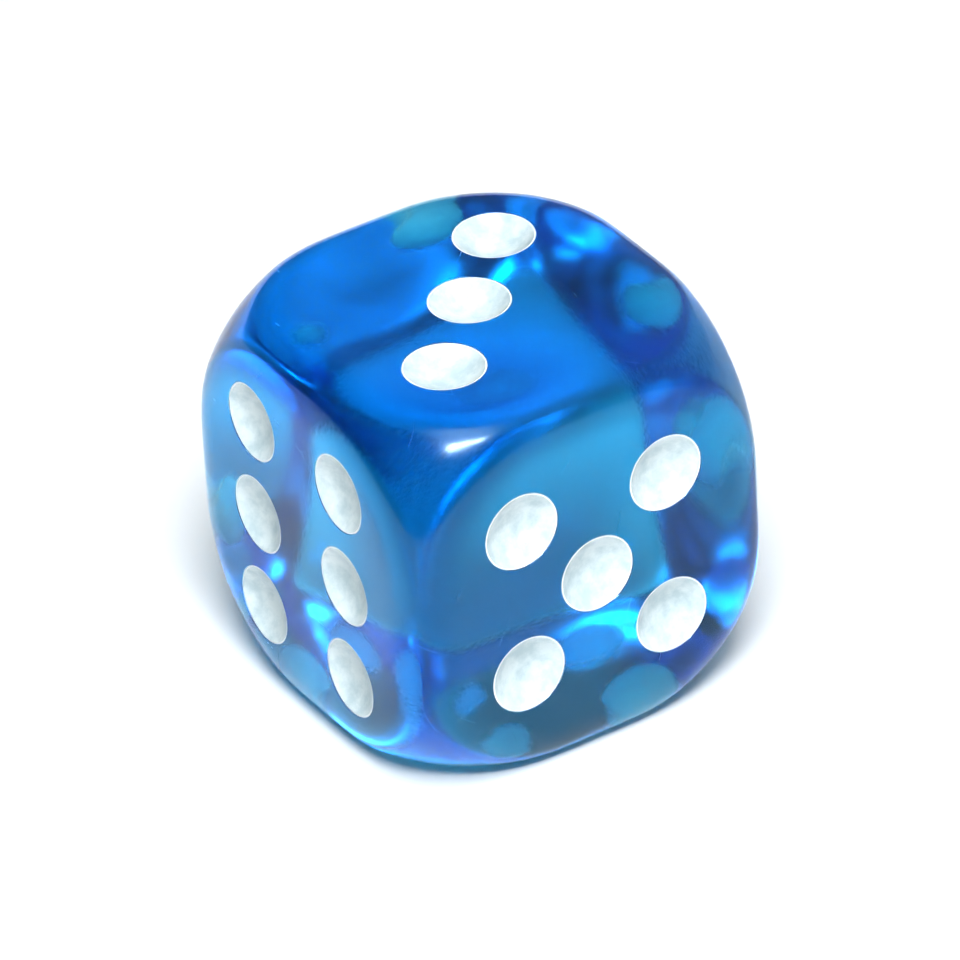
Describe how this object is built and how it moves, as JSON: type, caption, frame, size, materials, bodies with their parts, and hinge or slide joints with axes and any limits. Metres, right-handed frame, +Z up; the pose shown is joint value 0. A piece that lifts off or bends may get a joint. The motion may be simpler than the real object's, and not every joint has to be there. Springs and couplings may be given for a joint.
{
  "type": "playing die",
  "caption": "Translucent blue six-sided die with ball-rounded corners and white paint in round dimples, resting on the four with the three on top.",
  "frame": {"origin": "the middle of the bottom face, the four, which the die rests on", "axes": "+Z up, out of the three; +X out of the one; +Y out of the two; so -X is the six, -Y the five and -Z the four"},
  "size_m": [0.016, 0.016, 0.016],
  "materials": {
    "body_plastic": "polished",
    "pip_paint": "satin"
  },
  "bodies": {
    "root": {"die_body": "body_plastic", "pip_five_centre": "pip_paint", "pip_five_lower_left": "pip_paint", "pip_five_lower_right": "pip_paint", "pip_five_upper_left": "pip_paint", "pip_five_upper_right": "pip_paint", "pip_four_lower_left": "pip_paint", "pip_four_lower_right": "pip_paint", "pip_four_upper_left": "pip_paint", "pip_four_upper_right": "pip_paint", "pip_one_centre": "pip_paint", "pip_six_lower_left": "pip_paint", "pip_six_lower_right": "pip_paint", "pip_six_middle_left": "pip_paint", "pip_six_middle_right": "pip_paint", "pip_six_upper_left": "pip_paint", "pip_six_upper_right": "pip_paint", "pip_three_centre": "pip_paint", "pip_three_lower_left": "pip_paint", "pip_three_upper_right": "pip_paint", "pip_two_lower_right": "pip_paint", "pip_two_upper_left": "pip_paint"}
  },
  "joints": []
}
